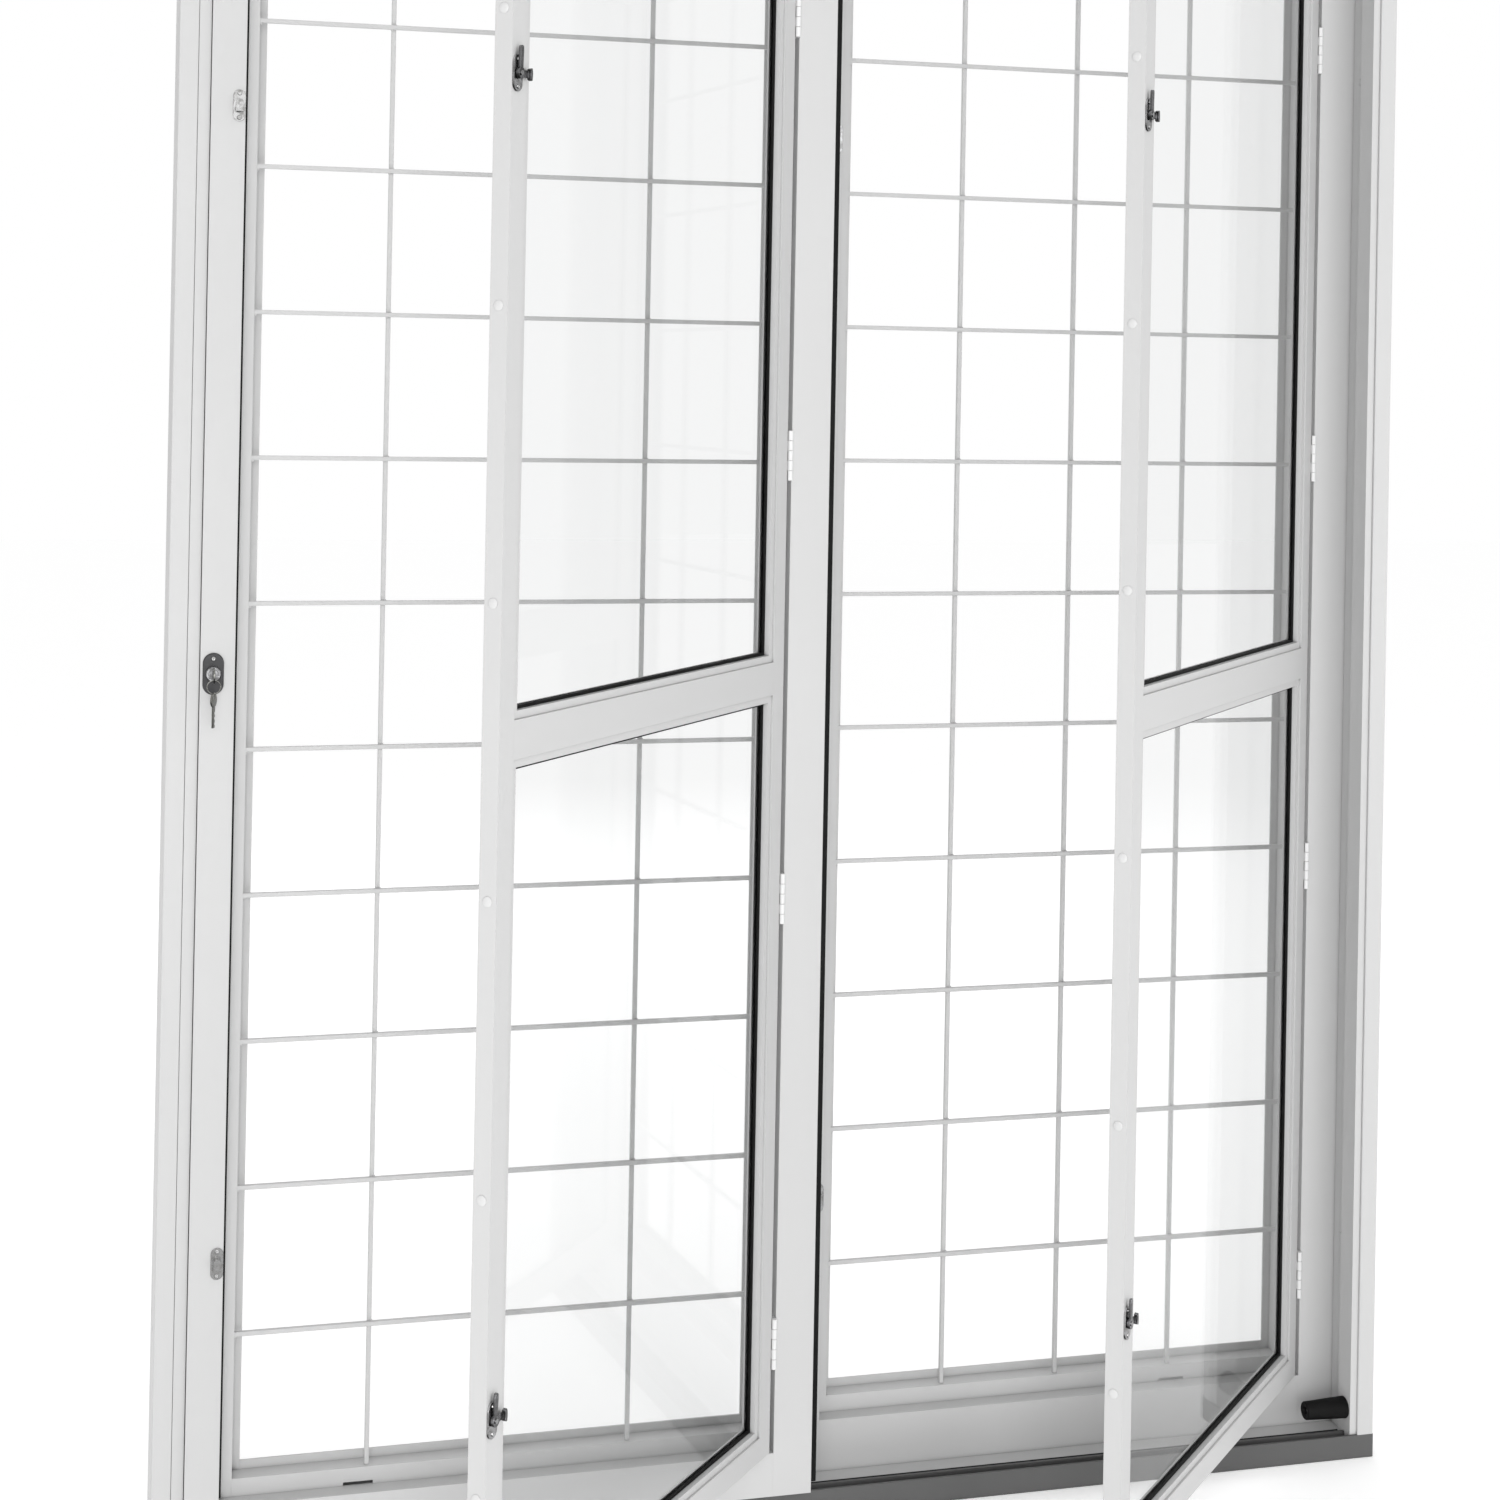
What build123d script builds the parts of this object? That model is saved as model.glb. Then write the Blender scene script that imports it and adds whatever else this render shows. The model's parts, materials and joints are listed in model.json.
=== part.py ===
from build123d import *
import os
from math import cos, radians, sin

os.makedirs("parts", exist_ok=True)

# Two-panel window. The front panel slides, the rear panel is fixed, and each panel
# carries a steel grille and a glazed casement leaf hinged on its right.
# Frame: X to the right, Y from the room to the outside, Z up. The room side is -Y.
# X = 0 and Y = 0 are the middle of the outer frame and Z = 0 is the underside of the
# sill. All lengths are in millimetres.

# Outer frame
FRAME_W = 1829.0
FRAME_H = 2438.0
FRAME_Y = (-75.0, 75.0)
SILL_Y = (-47.0, 75.0)
JAMB_W = 26.5
WALL = 2.0
TRACK_TOP = 35.0
LIP_BACK = -71.0
FLOOR_TOP = 23.0
STRIP_UNDER = 20.0
HEAD_UNDER = 2403.0
RIB_Y = (-54.0, -50.0)
RIB_TOP = 34.0
RIB_H = 7.0
STOP_X = 877.0
ANCHOR_R = 4.5
ANCHOR_Z = (319.0, 2119.0)

# Panels
PANEL_W = 883.0
PANEL_T = 61.0
PANEL_TOP = 2402.0
FRONT = {"x": -871.0, "y": -83.0, "z": 36.0}
REAR = {"x": 5.0, "y": 10.0, "z": FLOOR_TOP}
MID_Z = 1219.0
LATCH_STILE_W = 46.0
HINGE_STILE_W = 57.0
REBATE_D = 28.0
BORDER = (64.6, 800.0)
LIP_W = 12.0
LIP_T = 3.0
LEDGE_Z = (98.0, 2340.0)
BORDER_Z = (122.0, 2316.0)
BAR = 6.0
WELD = 0.02
SLOT_Y = (25.0, 37.0)
SLOT_H = 9.0
GLIDE_X = ((60.0, 120.0), (763.0, 823.0))
ROWS, COLUMNS = 11, 4
ROW_PITCH = 200.0

# Leaves, measured from the hinge axis while the leaf is shut
AXIS_X = 823.0
AXIS_Y = -3.0
REST_DEG = {"left": 49.0, "right": 46.0}
LEAF_X = (-772.0, -3.0)
LEAF_Y = (3.0, 27.0)
LEAF_Z = (100.5, 2337.5)
CORE = 33.0
MID_RAIL_Z = 1213.0
MID_CORE = 47.0
FLANGE_W = 14.0
FLANGE_T = 3.0
BEAD_W = 10.0
BEAD_Y = (6.0, 16.5)
GASKET_W = 4.0
GASKET_Y = (13.5, 16.5)
BACK_GASKET_W = 7.0
GLASS_Y = (16.5, 21.5)
GLASS_EDGE = 4.0
CAP_Z = [1202.0 + d for d in (-865.0, -519.0, -173.0, 173.0, 519.0, 865.0)]
CAP_R = 6.3

# Hardware
HINGE_Z = [1212.0 + d for d in (-956.0, -318.0, 318.0, 956.0)]
HINGE_L = 72.0
KNUCKLE_R = 3.75
PIN_R = 1.6
KNUCKLE_GAP = 0.5
LATCH_X = -761.5
LATCH_Z = (428.0, 1992.0)
HANDLE_L = 32.0
HANDLE_W = 7.0
HUB_R, BOSS_R = 7.0, 3.0
CAM_R = (17.5, 22.5)
CAM_H = 14.0
KEEPER_X = 37.5
KEEPER_Z = (428.0, 1998.0)
KEEPER_T = 1.5
HOOD_W, HOOD_D = 10.0, 9.8
SCREW_R = 1.6
SCREW_HEAD_R = 2.9
LOCK_X, LOCK_Z = 17.3, 1227.0
LOCK_R = 10.25
PLUG_R = 6.5
FIT = 0.05


def block(x, y, z, at=Location(), mode=Mode.ADD):
    """Box between two values on each axis, in the frame of a location."""
    centre = Location(((x[0] + x[1]) / 2, (y[0] + y[1]) / 2, (z[0] + z[1]) / 2))
    with Locations(at * centre):
        Box(x[1] - x[0], y[1] - y[0], z[1] - z[0], mode=mode)


def rod_y(x, y, z, radius, at=Location(), mode=Mode.ADD, top=None):
    """Round bar along Y from y[0] to y[1], or a cone that ends in radius top."""
    spot = at * Location((x, (y[0] + y[1]) / 2, z), (-90, 0, 0))
    with Locations(spot):
        if top is None:
            Cylinder(radius, y[1] - y[0], mode=mode)
        else:
            Cone(radius, top, y[1] - y[0], mode=mode)


def save(name, part):
    part.label = name
    export_step(part, f"parts/{name}.step")


def screws(name, spots, at=Location()):
    """Cross-head screws along Y; each spot is x, z and the y of the face under the head."""
    with BuildPart() as screw:
        for x, z, face in spots:
            rod_y(x, (face - 1.0, face), z, 2.2, at, top=SCREW_HEAD_R)
            rod_y(x, (face, face + 8.0), z, SCREW_R, at)
            for turn in (0, 90):
                cross = Location((x, face - 0.75, z), (0, turn, 0))
                with Locations(at * cross):
                    Box(3.2, 0.5, 0.7, mode=Mode.SUBTRACT)
    save(name, screw.part)


# ---------------------------------------------------------------- outer frame
def jamb(name, side, anchor_y):
    inner, outer = FRAME_W / 2 - JAMB_W, FRAME_W / 2
    x = (inner, outer) if side > 0 else (-outer, -inner)
    with BuildPart() as post:
        block(x, FRAME_Y, (TRACK_TOP, FRAME_H))
        block(x, (LIP_BACK, FRAME_Y[1]), (FLOOR_TOP, TRACK_TOP))
        block(x, (LIP_BACK, SILL_Y[0]), (STRIP_UNDER, FLOOR_TOP))
        corner = post.edges().filter_by(Axis.Z).sort_by(Axis.Y)[:2]
        fillet(corner, 2.0)
        block((x[0] + WALL, x[1] - WALL), (FRAME_Y[0] + WALL, FRAME_Y[1] - WALL),
              (FLOOR_TOP, FRAME_H), mode=Mode.SUBTRACT)
        for y in anchor_y:
            for z in ANCHOR_Z:
                with Locations(Location((x[0] + JAMB_W / 2, y, z), (0, 90, 0))):
                    Cylinder(ANCHOR_R, JAMB_W + 2, mode=Mode.SUBTRACT)
    save(name, post.part)


jamb("left_jamb", -1, (-10.0, 56.0))
jamb("right_jamb", 1, (-64.0, -10.0))

INNER = FRAME_W / 2 - JAMB_W
STRIP_BACK = FRONT["y"] + PANEL_T
with BuildPart() as head:
    block((-INNER, INNER), FRAME_Y, (HEAD_UNDER, FRAME_H))
    block((-INNER, INNER), (REAR["y"], FRAME_Y[1]), (PANEL_TOP, HEAD_UNDER))
    block((-INNER, INNER), (FRAME_Y[0] + WALL, FRAME_Y[1] - WALL),
          (HEAD_UNDER + WALL, FRAME_H - WALL), mode=Mode.SUBTRACT)
    block((FRONT["x"], STOP_X - 1), RIB_Y, (HEAD_UNDER - RIB_H, HEAD_UNDER))
save("head", head.part)

# Track: a low box with a lip on the room side and the rib that guides the front panel
with BuildPart() as track_bar:
    block((-FRAME_W / 2, FRAME_W / 2), (FRAME_Y[0], LIP_BACK), (0, TRACK_TOP))
    block((-FRAME_W / 2, FRAME_W / 2), (LIP_BACK, SILL_Y[0]), (0, STRIP_UNDER))
    block((-FRAME_W / 2, FRAME_W / 2), (LIP_BACK, SILL_Y[0] - 3), (3, STRIP_UNDER - 3),
          mode=Mode.SUBTRACT)
    block((-INNER, INNER), RIB_Y, (STRIP_UNDER, FLOOR_TOP))
    block((FRONT["x"], STOP_X - 1), RIB_Y, (FLOOR_TOP, RIB_TOP))
save("track_bar", track_bar.part)

with BuildPart() as sill:
    block((-FRAME_W / 2, FRAME_W / 2), SILL_Y, (0, FLOOR_TOP))
    block((-INNER, INNER), (SILL_Y[0], STRIP_BACK), (STRIP_UNDER, FLOOR_TOP), mode=Mode.SUBTRACT)
    block((-FRAME_W / 2, FRAME_W / 2), (SILL_Y[0] + 3, SILL_Y[1] - 3), (3.0, 17.0), mode=Mode.SUBTRACT)
save("sill", sill.part)

# Matt insert on each side of the rib
with BuildPart() as track_strip:
    block((-INNER, INNER), (LIP_BACK, RIB_Y[0]), (STRIP_UNDER, FLOOR_TOP))
    block((-INNER, INNER), (RIB_Y[1], STRIP_BACK), (STRIP_UNDER, FLOOR_TOP))
save("track_strip", track_strip.part)

# Channels that close the front track at both jambs; the right one carries the bumper
with BuildPart() as closing_channels:
    for x, y in (((-INNER, FRONT["x"] - 1.0), (FRAME_Y[0], SILL_Y[0])), ((STOP_X, INNER), (LIP_BACK, -33.0))):
        block(x, y, (TRACK_TOP, HEAD_UNDER))
        block(x, (LIP_BACK, y[1]), (FLOOR_TOP, TRACK_TOP))
        block((x[0] + WALL, x[1] - WALL), (y[0] + WALL, y[1] - WALL), (0, FRAME_H), mode=Mode.SUBTRACT)
save("closing_channels", closing_channels.part)

BUMPER_Y, BUMPER_Z, BUMPER_TIP = -52.0, 70.0, 810.0
BUMPER_R = (13.4, 16.3)
with BuildPart() as bumper:
    with Locations(Location(((BUMPER_TIP + STOP_X) / 2, BUMPER_Y, BUMPER_Z), (0, 90, 0))):
        Cone(*BUMPER_R, STOP_X - BUMPER_TIP)
    fillet(bumper.edges().filter_by(GeomType.CIRCLE).sort_by(Axis.X)[0], 3.0)
    with Locations(Location((BUMPER_TIP + 6, BUMPER_Y, BUMPER_Z), (0, 90, 0))):
        Cylinder(4.5, 12.0, mode=Mode.SUBTRACT)
save("bumper", bumper.part)


# --------------------------------------------------------------------- panels
def keeper_spots(face):
    return [(KEEPER_X, z + d, face) for z in KEEPER_Z for d in (-16.5, 16.5)]


def panel(side, origin, drain_x):
    at = Location((origin["x"], origin["y"], 0))
    low, high = origin["z"], PANEL_TOP
    sliding = side == "front"

    def guides(x):
        """Slot that passes over the head's rib."""
        if sliding:
            block(x, SLOT_Y, (high - SLOT_H, high + 1), at, Mode.SUBTRACT)

    with BuildPart() as latch_stile:
        block((0, LATCH_STILE_W), (0, PANEL_T), (low, high), at)
        block((LATCH_STILE_W, BORDER[0]), (REBATE_D, PANEL_T), (low, high), at)
        block((BORDER[0], BORDER[0] + LIP_W), (PANEL_T - LIP_T, PANEL_T), BORDER_Z, at)
        block((WALL, LATCH_STILE_W - WALL), (WALL, PANEL_T - WALL), (low, high), at, Mode.SUBTRACT)
        block((LATCH_STILE_W, BORDER[0] - WALL), (REBATE_D + WALL, PANEL_T - WALL), (low, high),
              at, Mode.SUBTRACT)
        guides((-1, BORDER[0] + 1))
        for x, z, _ in keeper_spots(0):
            rod_y(x, (-1, WALL + 1), z, SCREW_R + FIT, at, Mode.SUBTRACT)
        if sliding:
            rod_y(LOCK_X, (-1, WALL + 1), LOCK_Z, LOCK_R + FIT, at, Mode.SUBTRACT)
            rod_y(LOCK_X, (-1, WALL + 1), LOCK_Z + 20.5, SCREW_R + FIT, at, Mode.SUBTRACT)
    save(f"{side}_latch_stile", latch_stile.part)

    with BuildPart() as hinge_stile:
        face = PANEL_W - HINGE_STILE_W
        block((face, PANEL_W), (0, PANEL_T), (low, high), at)
        block((BORDER[1], face), (REBATE_D, PANEL_T), (low, high), at)
        block((BORDER[1] - LIP_W, BORDER[1]), (PANEL_T - LIP_T, PANEL_T), BORDER_Z, at)
        block((face + WALL, PANEL_W - WALL), (WALL, PANEL_T - WALL), (low, high), at, Mode.SUBTRACT)
        block((BORDER[1] + WALL, face), (REBATE_D + WALL, PANEL_T - WALL), (low, high), at, Mode.SUBTRACT)
        guides((BORDER[1] - 1, PANEL_W + 1))
    save(f"{side}_hinge_stile", hinge_stile.part)

    for name, z_front, z_back, z_lip in (
        ("bottom_rail", (low, LEDGE_Z[0]), (low, BORDER_Z[0]), (BORDER_Z[0], BORDER_Z[0] + LIP_W)),
        ("top_rail", (LEDGE_Z[1], high), (BORDER_Z[1], high), (BORDER_Z[1] - LIP_W, BORDER_Z[1])),
    ):
        with BuildPart() as rail:
            front_x = (LATCH_STILE_W, PANEL_W - HINGE_STILE_W)
            block(front_x, (0, REBATE_D), z_front, at)
            block(BORDER, (REBATE_D, PANEL_T), z_back, at)
            block((BORDER[0] + LIP_W, BORDER[1] - LIP_W), (PANEL_T - LIP_T, PANEL_T), z_lip, at)
            block(front_x, (WALL, REBATE_D - WALL), (z_front[0] + WALL, z_front[1] - WALL), at,
                  Mode.SUBTRACT)
            block(BORDER, (REBATE_D + WALL, PANEL_T - WALL), (z_back[0] + WALL, z_back[1] - WALL),
                  at, Mode.SUBTRACT)
            guides((LATCH_STILE_W - 1, PANEL_W))
            if name == "bottom_rail":
                block(drain_x, (REBATE_D - 1, REBATE_D + WALL + 1), (LEDGE_Z[0], LEDGE_Z[0] + 4.5),
                      at, Mode.SUBTRACT)
        save(f"{side}_{name}", rail.part)

    # Uprights are welded behind the crossbars, and the weld line keeps the bars apart
    with BuildPart() as grille:
        pitch = (BORDER[1] - BORDER[0]) / COLUMNS
        depth = REBATE_D + BAR
        for row in range(ROWS - 1):
            z = MID_Z + (row - (ROWS - 2) / 2) * ROW_PITCH
            block(BORDER, (REBATE_D, depth - WELD), (z - BAR / 2, z + BAR / 2), at)
        for column in range(1, COLUMNS):
            x = BORDER[0] + column * pitch
            block((x - BAR / 2, x + BAR / 2), (depth, depth + BAR), BORDER_Z, at)
    save(f"{side}_grille", grille.part)

    # Keeper: oval plate with an arched hood, open below and on the side of the leaf
    with BuildPart() as keepers:
        for z in KEEPER_Z:
            with BuildSketch(Plane(at * Location((KEEPER_X, 0, z), (90, 0, 0)))):
                SlotOverall(43.0, 17.0, rotation=90)
            extrude(amount=KEEPER_T)
            with BuildSketch(Plane(at * Location((KEEPER_X, -KEEPER_T, z), (90, 0, 0)))):
                with Locations((0, -2.5)):
                    Rectangle(HOOD_W, 12.0)
                with Locations((0, 3.5)):
                    Circle(HOOD_W / 2)
            extrude(amount=HOOD_D)
            block((KEEPER_X - 3.6, KEEPER_X + 6.0), (1.5 - KEEPER_T - HOOD_D, -KEEPER_T),
                  (z - 9.0, z + 5.5), at, Mode.SUBTRACT)
        for x, z, _ in keeper_spots(0):
            rod_y(x, (-2, 1), z, SCREW_R + FIT, at, Mode.SUBTRACT)
    save(f"{side}_keepers", keepers.part)

    spots = keeper_spots(-KEEPER_T)
    if sliding:
        spots.append((LOCK_X, LOCK_Z + 20.5, -3.0))
    screws(f"{side}_screws", spots, at)


panel("front", FRONT, (216.0, 257.0))
panel("rear", REAR, (600.0, 641.0))

with BuildPart() as interlock_seal:
    seal_x, seal_y = FRONT["x"] + PANEL_W, FRONT["y"] + PANEL_T
    block((seal_x, seal_x + 11.0), (seal_y - 48.0, seal_y - 38.0), (46.0, 2392.0))
save("interlock_seal", interlock_seal.part)

# Glide blocks straddle the ribs, under the panel and in its top slot
with BuildPart() as front_glides:
    panel_at = Location((FRONT["x"], FRONT["y"], 0))
    for x in GLIDE_X:
        block(x, SLOT_Y, (FLOOR_TOP + 0.2, FRONT["z"]), panel_at)
        block(x, SLOT_Y, (PANEL_TOP - SLOT_H, HEAD_UNDER - 0.2), panel_at)
    rib = (RIB_Y[0] - 0.2, RIB_Y[1] + 0.2)
    block((-INNER, INNER), rib, (FLOOR_TOP, RIB_TOP + 0.4), mode=Mode.SUBTRACT)
    block((-INNER, INNER), rib, (HEAD_UNDER - RIB_H - 0.4, HEAD_UNDER), mode=Mode.SUBTRACT)
save("front_glides", front_glides.part)

# ----------------------------------------------------------------------- lock
LOCK = Location((FRONT["x"] + LOCK_X, FRONT["y"], LOCK_Z))
with BuildPart() as lock_plate:
    with BuildSketch(Plane(LOCK * Location((0, 0, 0), (90, 0, 0)))):
        SlotOverall(56.5, 28.0, rotation=90)
    extrude(amount=3.0)
    chamfer(lock_plate.faces().sort_by(Axis.Y)[0].edges(), 1.2)
    rod_y(0, (-4, 1), 0, LOCK_R + FIT, LOCK, Mode.SUBTRACT)
    rod_y(0, (-4, 1), 20.5, SCREW_R + FIT, LOCK, Mode.SUBTRACT)
save("lock_plate", lock_plate.part)

with BuildPart() as lock_body:
    rod_y(0, (-9.0, 38.0), 0, LOCK_R, LOCK)
    chamfer(lock_body.edges().filter_by(GeomType.CIRCLE).sort_by(Axis.Y)[0], 1.0)
    rod_y(0, (-10.0, 32.0), 0, PLUG_R + FIT, LOCK, Mode.SUBTRACT)
save("lock_body", lock_body.part)

with BuildPart() as lock_plug:
    rod_y(0, (-9.8, 31.5), 0, PLUG_R, LOCK)
    block((-1.2, 1.2), (-11, 22), (-4.2, 4.2), LOCK, Mode.SUBTRACT)
save("lock_plug", lock_plug.part)

BOW_Y = -25.0
with BuildPart() as key:
    block((-1.0, 1.0), (-16.0, 20.0), (-3.8, 3.8), LOCK)
    for tooth, z in ((3.0, 2.4), (8.5, 2.9), (13.5, 2.2)):
        block((-1.0, 1.0), (tooth, tooth + 2.5), (-3.8, -z), LOCK, Mode.SUBTRACT)
    with Locations(LOCK * Location((0, BOW_Y, 0), (0, 90, 0))):
        Cylinder(11.0, 2.0)
        with Locations((4.5, 0, 0)):
            Cylinder(2.6, 4.0, mode=Mode.SUBTRACT)
save("key", key.part)

# The ring hangs on the rim of the bow's hole, and the spare key on the ring
RING_R, WIRE_R, EYE_R = 9.0, 0.8, 2.6
SLACK = EYE_R - WIRE_R - 0.1
RING = LOCK * Location((0, BOW_Y, -4.5 - SLACK))
with BuildPart() as key_ring:
    with Locations(RING * Location((0, 0, -RING_R), (90, 0, 0))):
        Torus(RING_R, WIRE_R)
save("key_ring", key_ring.part)

with BuildPart() as spare_key:
    eye = RING * Location((0, 0, -2 * RING_R - SLACK))
    with Locations(eye * Location((0, 0, -6.5), (0, 90, 0))):
        Cylinder(10.0, 2.0)
    with Locations(eye * Location((0, 0, 0), (0, 90, 0))):
        Cylinder(EYE_R, 4.0, mode=Mode.SUBTRACT)
    block((-1.0, 1.0), (-3.5, 3.5), (-44.0, -14.0), eye)
    for tooth in (-40.0, -33.0, -26.0):
        block((-1.0, 1.0), (2.0, 3.5), (tooth, tooth + 3.0), eye, Mode.SUBTRACT)
save("spare_key", spare_key.part)


# --------------------------------------------------------------------- leaves
def hinge_half(name, at, side, with_pin):
    """Four hinge halves; side +1 carries knuckles 1, 3 and 5, side -1 knuckles 2 and 4."""
    pitch = HINGE_L / 5
    own = (0, 2, 4) if side > 0 else (1, 3)
    plate_x = (1.5, 3.0) if side > 0 else (-3.0, -1.5)
    with BuildPart() as half:
        for centre in HINGE_Z:
            base = centre - HINGE_L / 2
            block(plate_x, (4.6, 25.0), (base, base + HINGE_L), at)
            for index in own:
                z = (base + index * pitch + KNUCKLE_GAP / 2, base + (index + 1) * pitch - KNUCKLE_GAP / 2)
                block(plate_x, (0.0, 4.6), z, at)
                with Locations(at * Location((0, 0, (z[0] + z[1]) / 2))):
                    Cylinder(KNUCKLE_R, z[1] - z[0])
            with Locations(at * Location((0, 0, centre))):
                if with_pin:
                    Cylinder(PIN_R, HINGE_L - KNUCKLE_GAP)
                else:
                    Cylinder(PIN_R + FIT, HINGE_L, mode=Mode.SUBTRACT)
    save(name, half.part)


def leaf(side, origin):
    axis = Location((origin["x"] + AXIS_X, origin["y"] + AXIS_Y, 0))
    at = axis * Location((0, 0, 0), (0, 0, REST_DEG[side]))
    hinge_half(f"{side}_hinge_plates", axis, 1, True)
    hinge_half(f"{side}_sash_plates", at, -1, False)

    stiles = {
        "hung_stile": ((LEAF_X[1] - CORE, LEAF_X[1]), (LEAF_X[1] - CORE - FLANGE_W, LEAF_X[1] - CORE)),
        "free_stile": ((LEAF_X[0], LEAF_X[0] + CORE), (LEAF_X[0] + CORE, LEAF_X[0] + CORE + FLANGE_W)),
    }
    for name, (core, flange) in stiles.items():
        with BuildPart() as stile:
            block(core, LEAF_Y, LEAF_Z, at)
            block(flange, (LEAF_Y[1] - FLANGE_T, LEAF_Y[1]), LEAF_Z, at)
            block((core[0] + WALL, core[1] - WALL), (LEAF_Y[0] + WALL, LEAF_Y[1] - WALL), LEAF_Z,
                  at, Mode.SUBTRACT)
            if name == "free_stile":
                for z in CAP_Z:
                    with Locations(at * Location((LEAF_X[0], 15.0, z), (0, 90, 0))):
                        Cylinder(4.0 + FIT, 6.0, mode=Mode.SUBTRACT)
                for z in LATCH_Z:
                    for d in (-16.0, 16.0):
                        rod_y(LATCH_X, (2, 6), z + d, SCREW_R + FIT, at, Mode.SUBTRACT)
        save(f"{side}_{name}", stile.part)

    open_x = (LEAF_X[0] + CORE, LEAF_X[1] - CORE)
    sight_x = (open_x[0] + FLANGE_W, open_x[1] - FLANGE_W)
    low = (LEAF_Z[0], LEAF_Z[0] + CORE)
    mid = (MID_RAIL_Z - MID_CORE / 2, MID_RAIL_Z + MID_CORE / 2)
    top = (LEAF_Z[1] - CORE, LEAF_Z[1])
    back_y = (LEAF_Y[1] - FLANGE_T, LEAF_Y[1])
    for name, core, back in (
        ("bottom_rail", low, (low[0], low[1] + FLANGE_W)),
        ("mid_rail", mid, (mid[0] - FLANGE_W, mid[1] + FLANGE_W)),
        ("top_rail", top, (top[0] - FLANGE_W, top[1])),
    ):
        with BuildPart() as rail:
            block(open_x, (LEAF_Y[0], back_y[0]), core, at)
            block(sight_x, back_y, back, at)
            block(open_x, (LEAF_Y[0] + WALL, back_y[0] - WALL), (core[0] + WALL, core[1] - WALL),
                  at, Mode.SUBTRACT)
        save(f"{side}_{name}", rail.part)

    panes = ((low[1], mid[0]), (mid[1], top[0]))
    with BuildPart() as glass:
        for z in panes:
            block((open_x[0] + GLASS_EDGE, open_x[1] - GLASS_EDGE), GLASS_Y,
                  (z[0] + GLASS_EDGE, z[1] - GLASS_EDGE), at)
    save(f"{side}_glass", glass.part)

    def border(x, y, z, width):
        """Four strips round a rectangle: full-height sides, top and bottom between them."""
        block((x[0], x[0] + width), y, z, at)
        block((x[1] - width, x[1]), y, z, at)
        for edge in ((z[0], z[0] + width), (z[1] - width, z[1])):
            block((x[0] + width, x[1] - width), y, edge, at)

    with BuildPart() as beads:
        for z in panes:
            border(open_x, BEAD_Y, z, BEAD_W)
    save(f"{side}_beads", beads.part)

    with BuildPart() as gaskets:
        for z in panes:
            inner_z = (z[0] + BEAD_W, z[1] - BEAD_W)
            border((open_x[0] + BEAD_W, open_x[1] - BEAD_W), GASKET_Y, inner_z, GASKET_W)
            back_z = (z[0] + GLASS_EDGE, z[1] - GLASS_EDGE)
            border((open_x[0] + GLASS_EDGE, open_x[1] - GLASS_EDGE), (GLASS_Y[1], back_y[0]), back_z,
                   BACK_GASKET_W)
    save(f"{side}_gaskets", gaskets.part)

    with BuildPart() as caps:
        for z in CAP_Z:
            with Locations(at * Location((LEAF_X[0] - 0.6, 15.0, z), (0, 90, 0))):
                Cylinder(CAP_R, 1.2)
            with Locations(at * Location((LEAF_X[0] + 0.95, 15.0, z), (0, 90, 0))):
                Cylinder(4.0, 1.9)
    save(f"{side}_caps", caps.part)

    # Latch: fixed base with a round boss, and an arm with a handle and a cam. Half a turn
    # takes the cam from the hinge side to the free side, into the keeper's hood.
    with BuildPart() as bases:
        for z in LATCH_Z:
            with BuildSketch(Plane(at * Location((LATCH_X, LEAF_Y[0], z), (90, 0, 0)))):
                SlotOverall(43.0, 19.0, rotation=90)
            extrude(amount=2.5)
            rod_y(LATCH_X, (-5.2, 0.5), z, BOSS_R, at)
            for d in (-16.0, 16.0):
                rod_y(LATCH_X, (-1, 4), z + d, SCREW_R + FIT, at, Mode.SUBTRACT)
    save(f"{side}_latch_bases", bases.part)
    screws(f"{side}_latch_screws", [(LATCH_X, z + d, 0.5) for z in LATCH_Z for d in (-16.0, 16.0)], at)

    for level, z in zip(("lower", "upper"), LATCH_Z):
        with BuildPart() as arm:
            rod_y(LATCH_X, (-4.6, 0.2), z, HUB_R, at)
            face = Plane(at * Location((LATCH_X, -0.8, z), (90, 0, 0)))
            with BuildSketch(face):
                with Locations((0, HANDLE_L / 2 - 3)):
                    SlotOverall(HANDLE_L + 6, HANDLE_W, rotation=90)
            extrude(amount=3.8)
            with BuildSketch(face):
                with Locations((CAM_R[0] / 2, 0)):
                    Rectangle(CAM_R[0] + 2, 10.0)
            extrude(amount=1.4)
            with BuildSketch(face):
                Circle(CAM_R[1])
                Circle(CAM_R[0], mode=Mode.SUBTRACT)
                with Locations((CAM_R[1], 0)):
                    Rectangle(12.0, CAM_H, mode=Mode.INTERSECT)
            extrude(amount=5.2)
            rod_y(LATCH_X, (-7, 1), z, BOSS_R + FIT, at, Mode.SUBTRACT)
        save(f"{side}_{level}_arm", arm.part)


leaf("left", FRONT)
leaf("right", REAR)
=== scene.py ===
import json
from math import cos, pi, radians, sin

import bmesh
import bpy
from mathutils import Matrix, Vector


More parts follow.
